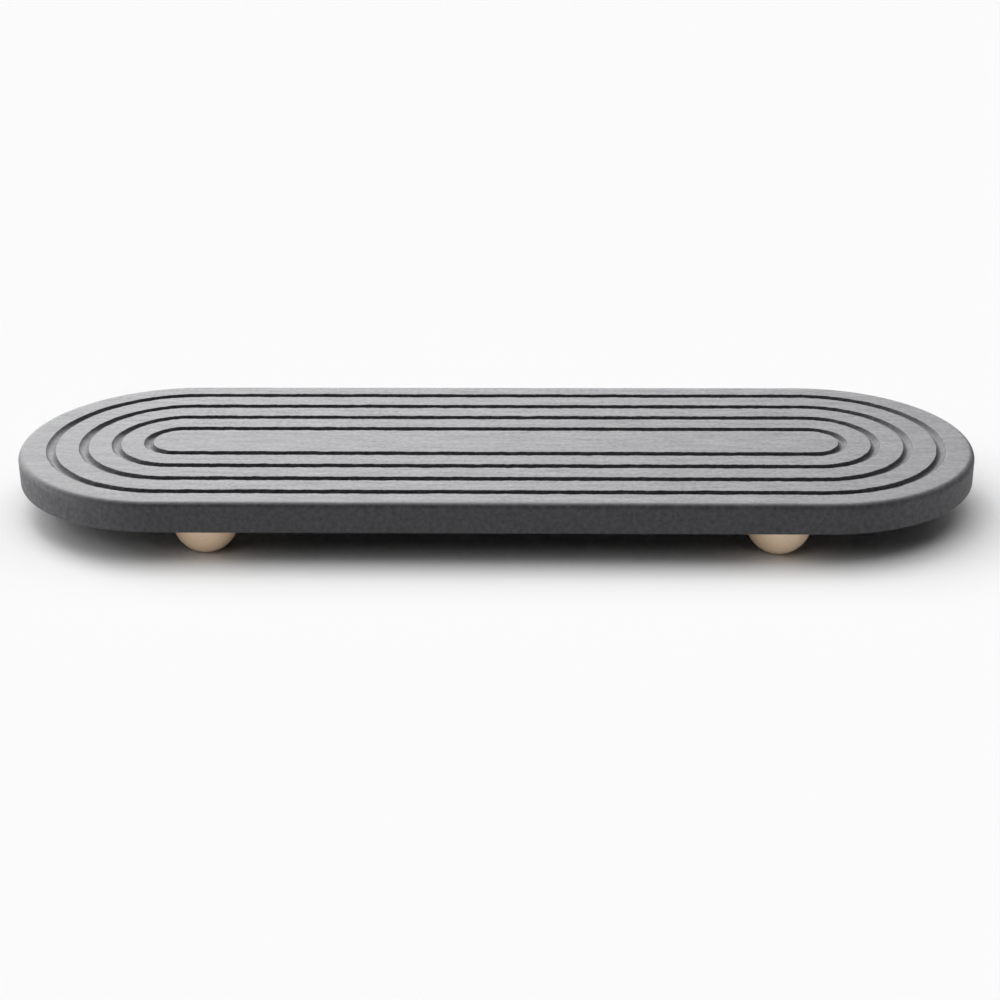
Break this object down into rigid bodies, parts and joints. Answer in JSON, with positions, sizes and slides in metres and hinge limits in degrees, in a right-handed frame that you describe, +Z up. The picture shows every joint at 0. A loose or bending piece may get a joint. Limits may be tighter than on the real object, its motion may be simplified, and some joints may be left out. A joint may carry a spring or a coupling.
{
  "type": "diatomite sink tray",
  "caption": "Long round-ended diatomite tray for a sink edge, with concentric drainage grooves in its top, raised on small turned wooden feet.",
  "frame": {"origin": "on the worktop, at the bottom centre of the bounding box, under the middle of the tray", "axes": "+X along the tray to its right end as seen from the front, +Y to the back, +Z up; the long front side faces -Y"},
  "size_m": [0.3, 0.1, 0.02],
  "materials": {
    "diatomite": "matt, sanded along the tray, fine open pores",
    "beech": "turned and sanded, bare or thinly oiled",
    "adhesive": "clear set resin glue, hidden"
  },
  "bodies": {
    "root": {"stone_slab": "diatomite", "foot_front_left": "beech", "foot_front_right": "beech", "foot_back_left": "beech", "foot_back_right": "beech", "adhesive_front_left": "adhesive", "adhesive_front_right": "adhesive", "adhesive_back_left": "adhesive", "adhesive_back_right": "adhesive"}
  },
  "joints": []
}
